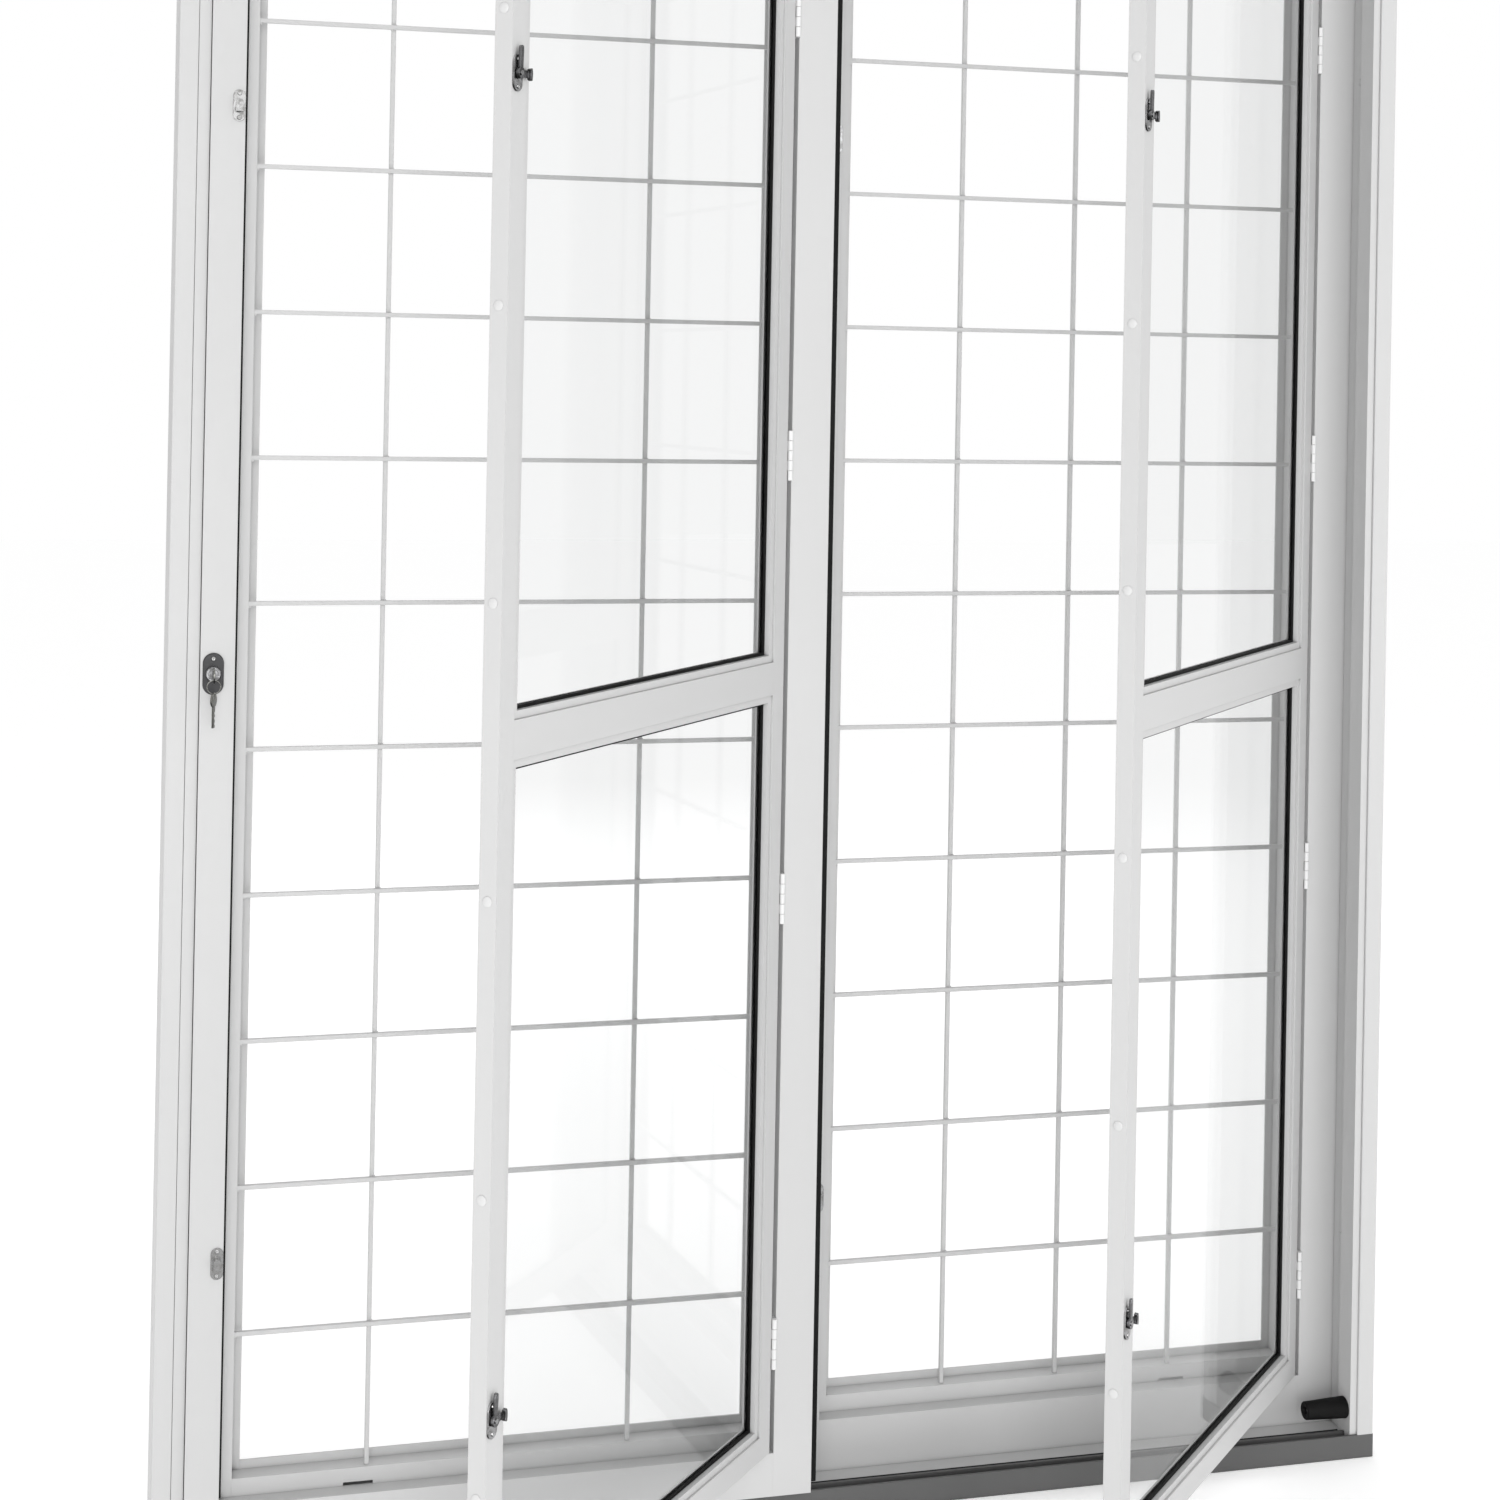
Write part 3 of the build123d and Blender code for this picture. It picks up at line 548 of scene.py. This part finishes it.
# -------------------------------------------------------------------- finishes
class WINDOW_OT_finishes(bpy.types.Operator):
    """Give every part of the window its paint, metal, rubber or glass"""

    bl_idname = "window.finishes"
    bl_label = "Finishes"

    def execute(self, context):
        look = context.scene.window_finish
        powder_coat_group()
        handled_metal_and_reflection_group()
        frame_paint = paint("frame_powder_coat", look.frame_colour, 0.38, look.peel_depth)
        coat_nodes(frame_paint, "left_jamb", "right_jamb", "head", "sill", "closing_channels")
        for panel in PANELS:
            for part in ("latch_stile", "hinge_stile", "bottom_rail", "top_rail"):
                coat_nodes(frame_paint, f"{panel}_{part}")
        leaf_paint = paint("leaf_powder_coat", look.leaf_colour, 0.35, look.peel_depth)
        bead_paint = paint("bead_powder_coat", look.leaf_colour, 0.42, look.peel_depth, reach=0.008)
        grille_paint = paint("grille_enamel", look.grille_colour, 0.4, 0.00005, reach=0.004, edge=0.0012)
        track_paint = paint("track_enamel", look.track_colour, 0.45, 0.00005, soil=(0.02, 0.02, 0.02))
        hinge_paint = paint("hinge_enamel", (0.74, 0.74, 0.74), 0.3, 0.00002, reach=0.004)
        lock_paint = paint("lock_enamel", (0.030, 0.030, 0.033), 0.5, 0.00003, reach=0.003)
        cap_plastic = paint("cap_plastic", (0.60, 0.60, 0.60), 0.3, 0.00001, reach=0.003)
        nylon = paint("glide_nylon", (0.75, 0.75, 0.72), 0.5, 0.00002)
        seal = rubber("seal_rubber", (0.006, 0.006, 0.006), 0.6, bloom=0.2)
        mat = rubber("track_insert", (0.010, 0.010, 0.010), 0.7, grain=500, bloom=0.2)
        stop = rubber("bumper_rubber", (0.004, 0.004, 0.004), 0.6, grain=420, depth=0.0001, bloom=0.15)
        # Painted reflection: the arm chrome, lock steel and key nickel colours are set much darker than
        # bare metal, standing in for dark surroundings mirrored in them.
        chrome = metal("latch_chrome", (0.62, 0.62, 0.63), 0.16)
        dark_chrome = metal("arm_chrome", (0.26, 0.26, 0.27), 0.14)
        bright = metal("keeper_chrome", (0.48, 0.48, 0.48), 0.2)
        screw = metal("screw_steel", (0.90, 0.90, 0.90), 0.25)
        nickel = metal("key_nickel", (0.30, 0.30, 0.28), 0.22)
        cylinder = metal("lock_steel", (0.30, 0.30, 0.31), 0.24)
        glass = pane_glass("pane_glass", look.glass_tint)
        coat_nodes(grille_paint, "front_grille", "rear_grille")
        coat_nodes(bright, "front_keepers")
        coat_nodes(chrome, "rear_keepers", "left_latch_bases", "right_latch_bases")
        coat_nodes(screw, "front_screws", "rear_screws", "left_latch_screws", "right_latch_screws")
        coat_nodes(track_paint, "track_bar")
        coat_nodes(mat, "track_strip")
        coat_nodes(stop, "bumper")
        coat_nodes(seal, "interlock_seal", "left_gaskets", "right_gaskets")
        coat_nodes(nylon, "front_glides")
        coat_nodes(lock_paint, "lock_plate")
        coat_nodes(cylinder, "lock_body", "lock_plug")
        coat_nodes(nickel, "key", "key_ring", "spare_key")
        for side in LEAVES:
            for part in ("hung_stile", "free_stile", "bottom_rail", "mid_rail", "top_rail"):
                coat_nodes(leaf_paint, f"{side}_{part}")
            coat_nodes(bead_paint, f"{side}_beads")
            coat_nodes(glass, f"{side}_glass")
            coat_nodes(cap_plastic, f"{side}_caps")
            coat_nodes(hinge_paint, f"{side}_hinge_plates", f"{side}_sash_plates")
            coat_nodes(dark_chrome, f"{side}_lower_arm", f"{side}_upper_arm")
        return {"FINISHED"}


# ------------------------------------------------------------------- new pieces
class WINDOW_OT_rebate_seals(bpy.types.Operator):
    """Lay black rubber seals down both sides of each panel's rebate, partly a real seal and partly standing
    in for the dark shade in the rebate's corner
    """

    bl_idname = "window.rebate_seals"
    bl_label = "Rebate Seals"

    def execute(self, context):
        trim = context.scene.window_trim
        for panel, body in PANELS.items():
            stile, far = span(f"{panel}_latch_stile"), span(f"{panel}_hinge_stile")
            front = stile[0].y
            low = Vector((stile[0].x + LATCH_STILE_W, front + REBATE_D, LEDGE_Z[0]))
            high = Vector((far[1].x - HINGE_STILE_W, low.y, LEDGE_Z[1]))
            middle = (low + high) / 2
            strips = []
            # Painted shade: each black strip sits in the rebate's corner beside the step, where it also
            # darkens the line that is shade there.
            for x in (low.x + trim.seal_width / 2, high.x - trim.seal_width / 2):
                strip = start(bpy.ops.mesh.primitive_plane_add, f"{panel}_rebate_seal", size=1,
                              location=(x, low.y - 0.02 * MM, middle.z), rotation=(radians(90), 0, 0))
                strip.scale = (trim.seal_width, high.z - low.z, 1)
                settle(strip)
                pick(strip, lambda face: True)
                bpy.ops.mesh.extrude_region_move(
                    TRANSFORM_OT_translate={"value": (0, -trim.seal_height, 0)})
                leave()
                strips.append(outward(strip))
            seal = join(strips, f"{panel}_rebate_seal")
            round_edges(seal, trim.seal_width * 0.3, 3)
            place(seal, body, bpy.data.materials["seal_rubber"])
        return {"FINISHED"}


class WINDOW_OT_welds(bpy.types.Operator):
    """Put a small weld at each crossing and end of the grille's bars"""

    bl_idname = "window.welds"
    bl_label = "Grille Welds"

    def execute(self, context):
        radius = context.scene.window_trim.weld_radius
        drop = start(bpy.ops.mesh.primitive_uv_sphere_add, "weld", segments=10, ring_count=6, radius=radius)
        pick(drop, lambda vert: vert.co.y > 0, "verts")
        bpy.ops.transform.resize(value=(1, 0.5, 1))
        leave()
        only(drop)
        bpy.ops.object.shade_smooth()
        for panel, body in PANELS.items():
            low, high, _ = span(f"{panel}_grille")
            pitch = (high.x - low.x) / GRILLE_COLUMNS
            ups = [low.x + pitch * (i + 1) for i in range(GRILLE_COLUMNS - 1)]
            rows = [GRILLE_MID_Z + (i - (GRILLE_ROWS - 1) / 2) * ROW_PITCH for i in range(GRILLE_ROWS)]
            y = low.y + BAR
            parts = []
            for z in rows:
                for x in ups:
                    for dx, dz in ((-1, -1), (1, 1)):
                        spot = Matrix.Translation((x + dx * 2.6 * MM, y, z + dz * 2.6 * MM))
                        parts.append(copy_to(drop, spot @ Matrix.Scale(0.62, 4), "weld"))
                for x in (low.x + 0.6 * MM, high.x - 0.6 * MM):
                    parts.append(copy_to(drop, Matrix.Translation((x, y - BAR / 2, z - 2.5 * MM)), "weld"))
            weld = join(parts, f"{panel}_grille_welds")
            place(weld, body, bpy.data.materials["grille_enamel"])
        bpy.data.objects.remove(drop)
        return {"FINISHED"}


class WINDOW_OT_plug_caps(bpy.types.Operator):
    """Dome the plug caps along each leaf's free edge"""

    bl_idname = "window.plug_caps"
    bl_label = "Plug Caps"

    def execute(self, context):
        crown = context.scene.window_trim.cap_crown
        button = start(bpy.ops.mesh.primitive_cylinder_add, "cap", vertices=32, radius=CAP_R,
                       depth=0.6 * MM, rotation=(0, radians(-90), 0), location=(-0.3 * MM, 0, 0))
        settle(button)
        pick(button, lambda face: face.normal.x < -0.9)
        for inset, rise in ((1.1, 0.45), (1.6, 0.35), (1.9, 0.2)):
            bpy.ops.mesh.inset(thickness=inset * MM)
            bpy.ops.transform.translate(value=(-crown * rise, 0, 0))
        leave()
        only(button)
        bpy.ops.object.shade_smooth_by_angle(angle=radians(50))
        for side, body in LEAVES.items():
            at = leaf_matrix(side)
            parts = []
            for low, high in clusters(f"{side}_caps"):
                spot = CAP_SPOT + Vector((0, 0, (low.z + high.z) / 2))
                parts.append(copy_to(button, at @ Matrix.Translation(spot), "cap"))
            caps = join(parts, f"{side}_domed_caps")
            place(caps, body, bpy.data.materials["cap_plastic"])
            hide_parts(f"{side}_caps")
        bpy.data.objects.remove(button)
        return {"FINISHED"}


class WINDOW_OT_anchor_covers(bpy.types.Operator):
    """Snap a low cover over each open anchor hole in the jambs' reveals"""

    bl_idname = "window.anchor_covers"
    bl_label = "Anchor Covers"

    def execute(self, context):
        cover = start(bpy.ops.mesh.primitive_cylinder_add, "cover", vertices=32, radius=5.5 * MM,
                      depth=0.8 * MM, rotation=(0, radians(-90), 0), location=(-0.4 * MM, 0, 0))
        settle(cover)
        round_edges(cover, 0.3 * MM)
        parts = []
        for node, turn in (("right_jamb", 0), ("left_jamb", pi)):
            low, high, _ = span(node)
            x = low.x if turn == 0 else high.x
            for y in ANCHOR_Y[node]:
                for z in ANCHOR_Z:
                    spot = Matrix.Translation((x, y, z)) @ Matrix.Rotation(turn, 4, "Z")
                    parts.append(copy_to(cover, spot, "cover"))
        covers = join(parts, "anchor_covers")
        place(covers, "frame", bpy.data.materials["frame_powder_coat"])
        bpy.data.objects.remove(cover)
        return {"FINISHED"}


class WINDOW_OT_spare_key(bpy.types.Operator):
    """Turn the spare key a little on its ring and round its edges"""

    bl_idname = "window.spare_key"
    bl_label = "Spare Key"

    def execute(self, context):
        middle = span("spare_key")[2]
        spare = copy_to(NODES["spare_key"], Matrix.Identity(4), "turned_spare_key")
        outward(spare)
        hang = Matrix.Translation(middle)
        settle(spare, hang @ Matrix.Rotation(context.scene.window_trim.key_turn, 4, "Z") @ hang.inverted())
        round_edges(spare, 0.3 * MM)
        place(spare, "key_bunch", bpy.data.materials["key_nickel"])
        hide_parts("spare_key")
        return {"FINISHED"}


class WINDOW_OT_cam_handles(bpy.types.Operator):
    """Forge the four latch arms with their handles and cams"""

    bl_idname = "window.cam_handles"
    bl_label = "Cam Handles"

    def execute(self, context):
        hub = start(bpy.ops.mesh.primitive_cylinder_add, "hub", vertices=40, radius=HUB_R, depth=HUB_L,
                    location=(0, -HUB_L / 2, 0), rotation=(radians(90), 0, 0))
        settle(hub)
        pick(hub, lambda face: face.normal.y < -0.9)
        bpy.ops.mesh.inset(thickness=2.2 * MM)
        bpy.ops.transform.translate(value=(0, 0.5 * MM, 0))
        leave()
        handle = start(bpy.ops.mesh.primitive_cube_add, "handle", size=1,
                       location=(0, -2.7 * MM, 8 * MM), scale=(6.4 * MM, 3.6 * MM, 12 * MM))
        settle(handle)
        pick(handle, lambda face: face.normal.z > 0.9)
        for rise, grow, lift in ((6, 1.06, 0.1), (6, 1.06, 0.15), (4, 0.92, 0.1), (2.2, 0.62, 0)):
            bpy.ops.mesh.extrude_region_move(
                TRANSFORM_OT_translate={"value": (0, -lift * MM, rise * MM)})
            bpy.ops.transform.resize(value=(grow, 1, 1))
        leave()
        web = start(bpy.ops.mesh.primitive_cube_add, "web", size=1,
                    location=(10 * MM, -1.6 * MM, 0), scale=(18 * MM, 1.6 * MM, 9 * MM))
        settle(web)
        cam = start(bpy.ops.mesh.primitive_plane_add, "cam", size=1, location=(CAM_RADIUS, -3.4 * MM, 0))
        cam.scale = (4.8 * MM, 5.2 * MM, 1)
        settle(cam)
        pick(cam, lambda face: True)
        bpy.ops.transform.rotate(value=-CAM_ARC / 2, orient_axis="Y", center_override=(0, 0, 0))
        bpy.ops.mesh.spin(steps=8, angle=CAM_ARC, center=(0, 0, 0), axis=(0, 1, 0))
        leave()
        outward(cam)
        arm = join([handle, hub, web, cam], "arm")
        round_edges(arm, 0.55 * MM, 3, 30)
        for side in LEAVES:
            for level in ("lower", "upper"):
                joint = JOINTS[f"{side}_{level}_latch_turn"]
                pivot = Vector(joint["pos_m"])
                turn = Matrix.Rotation(radians(REST_DEG[side]), 4, "Z")
                piece = copy_to(arm, Matrix.Translation(pivot) @ turn, f"{side}_{level}_cam_handle")
                place(piece, f"{side}_{level}_latch", bpy.data.materials["arm_chrome"])
                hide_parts(f"{side}_{level}_arm")
        bpy.data.objects.remove(arm)
        return {"FINISHED"}


class WINDOW_OT_buffer(bpy.types.Operator):
    """Turn the rubber buffer at the right jamb, with its screw"""

    bl_idname = "window.buffer"
    bl_label = "Rubber Buffer"

    def execute(self, context):
        low, high, middle = span("bumper")
        cone = start(bpy.ops.mesh.primitive_cone_add, "rubber_buffer", vertices=64, radius1=BUFFER_BASE_R,
                     radius2=BUFFER_TIP_R, depth=high.x - low.x, location=middle,
                     rotation=(0, radians(-90), 0))
        settle(cone)
        pick(cone, lambda face: face.normal.x < -0.9)
        bpy.ops.mesh.inset(thickness=2.4 * MM)
        bpy.ops.mesh.inset(thickness=5.2 * MM)
        bpy.ops.transform.translate(value=(0.8 * MM, 0, 0))
        bpy.ops.mesh.inset(thickness=0.8 * MM)
        bpy.ops.transform.translate(value=(8 * MM, 0, 0))
        leave()
        round_edges(cone, 1.4 * MM, 4, 25)
        place(cone, "frame", bpy.data.materials["bumper_rubber"])
        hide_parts("bumper")
        screw = start(bpy.ops.mesh.primitive_cylinder_add, "buffer_screw", vertices=32, radius=4.2 * MM,
                      depth=2.4 * MM, location=(low.x + 6.4 * MM, middle.y, middle.z),
                      rotation=(0, radians(-90), 0))
        settle(screw)
        pick(screw, lambda face: face.normal.x < -0.9)
        bpy.ops.mesh.inset(thickness=2.1 * MM)
        bpy.ops.transform.translate(value=(1.0 * MM, 0, 0))
        leave()
        round_edges(screw, 0.4 * MM, 2)
        place(screw, "frame", bpy.data.materials["screw_steel"])
        return {"FINISHED"}


class WINDOW_OT_studio(bpy.types.Operator):
    """Set the floor, the lights and the camera"""

    bl_idname = "window.studio"
    bl_label = "Studio"

    def execute(self, context):
        look = context.scene.window_studio
        scene = context.scene
        floor = start(bpy.ops.mesh.primitive_plane_add, "studio_floor", size=40, location=(0, 0, -0.0005))
        floor.data.materials.append(floor_finish())
        world = bpy.data.worlds.new("studio_world")
        scene.world = world
        world.use_nodes = True
        nodes, links = world.node_tree.nodes, world.node_tree.links
        nodes.clear()
        seen, lit = nodes.new("ShaderNodeBackground"), nodes.new("ShaderNodeBackground")
        seen.inputs["Color"].default_value = (1, 1, 1, 1)
        seen.inputs["Strength"].default_value = 1.0
        lit.inputs["Color"].default_value = (1, 1, 1, 1)
        lit.inputs["Strength"].default_value = look.room_light
        path, mix = nodes.new("ShaderNodeLightPath"), nodes.new("ShaderNodeMixShader")
        out = nodes.new("ShaderNodeOutputWorld")
        clear = nodes.new("ShaderNodeMath")
        clear.operation = "MAXIMUM"
        links.new(path.outputs["Is Camera Ray"], clear.inputs[0])
        links.new(path.outputs["Is Transmission Ray"], clear.inputs[1])
        links.new(clear.outputs["Value"], mix.inputs["Fac"])
        links.new(lit.outputs["Background"], mix.inputs[1])
        links.new(seen.outputs["Background"], mix.inputs[2])
        links.new(mix.outputs["Shader"], out.inputs["Surface"])
        lamps = (
            ("key_light", (-1.8, -6.0, 2.5), (0, 0, 1.1), 3.0, 100.0),
            ("fill_light", (2.0, -5.5, 2.0), (0, 0, 1.1), 3.0, 60.0),
            ("back_light", (0.5, 4.5, 3.5), (0, 0, 1.1), 4.0, 40.0),
            ("low_light", (-0.6, -3.6, 0.5), (0.3, 0, 0.1), 1.0, 14.0),
        )
        for name, spot, target, size, power in lamps:
            data = bpy.data.lights.new(name, "AREA")
            data.shape, data.size, data.energy = "SQUARE", size, power
            lamp = bpy.data.objects.new(name, data)
            scene.collection.objects.link(lamp)
            aim = Vector(target) - Vector(spot)
            lamp.location = spot
            lamp.rotation_euler = aim.to_track_quat("-Z", "Y").to_euler()
            lamp.visible_camera = lamp.visible_transmission = False
        data = bpy.data.cameras.new("studio_camera")
        data.sensor_width, data.lens, data.shift_y = 36, look.lens, look.lens_drop
        camera = bpy.data.objects.new("studio_camera", data)
        scene.collection.objects.link(camera)
        ahead = Vector((sin(look.heading), cos(look.heading), 0))
        gaze = ahead * cos(look.pitch) + Vector((0, 0, sin(look.pitch)))
        right = Vector((cos(look.heading), -sin(look.heading), 0))
        up = right.cross(gaze)
        across = right * cos(look.roll) + up * sin(look.roll)
        upward = up * cos(look.roll) - right * sin(look.roll)
        basis = Matrix((across, upward, -gaze)).transposed()
        camera.matrix_world = Matrix.Translation(look.eye) @ basis.to_4x4()
        scene.camera = camera
        scene.view_settings.view_transform = "Standard"
        return {"FINISHED"}


# ----------------------------------------------------------------------- panel
OPERATORS = (
    WINDOW_OT_finishes, WINDOW_OT_rebate_seals, WINDOW_OT_welds, WINDOW_OT_plug_caps,
    WINDOW_OT_anchor_covers, WINDOW_OT_spare_key, WINDOW_OT_cam_handles, WINDOW_OT_buffer, WINDOW_OT_studio,
)


class WINDOW_PT_sidebar(bpy.types.Panel):
    """Lists the steps that build the window's looks"""

    bl_idname = "WINDOW_PT_sidebar"
    bl_label = "Casement Window"
    bl_space_type = "VIEW_3D"
    bl_region_type = "UI"
    bl_category = "Window"

    def draw(self, context):
        column = self.layout.column()
        for operator in OPERATORS:
            column.operator(operator.bl_idname)


CLASSES = (FinishSettings, TrimSettings, StudioSettings, *OPERATORS, WINDOW_PT_sidebar)


def register():
    for item in CLASSES:
        bpy.utils.register_class(item)
    bpy.types.Scene.window_finish = bpy.props.PointerProperty(type=FinishSettings)
    bpy.types.Scene.window_trim = bpy.props.PointerProperty(type=TrimSettings)
    bpy.types.Scene.window_studio = bpy.props.PointerProperty(type=StudioSettings)


def unregister():
    del bpy.types.Scene.window_studio, bpy.types.Scene.window_trim, bpy.types.Scene.window_finish
    for item in reversed(CLASSES):
        bpy.utils.unregister_class(item)


def main():
    register()
    bpy.ops.window.finishes()
    bpy.ops.window.rebate_seals()
    bpy.ops.window.welds()
    bpy.ops.window.plug_caps()
    bpy.ops.window.anchor_covers()
    bpy.ops.window.spare_key()
    bpy.ops.window.cam_handles()
    bpy.ops.window.buffer()
    bpy.ops.window.studio()


if __name__ == "__main__":
    main()
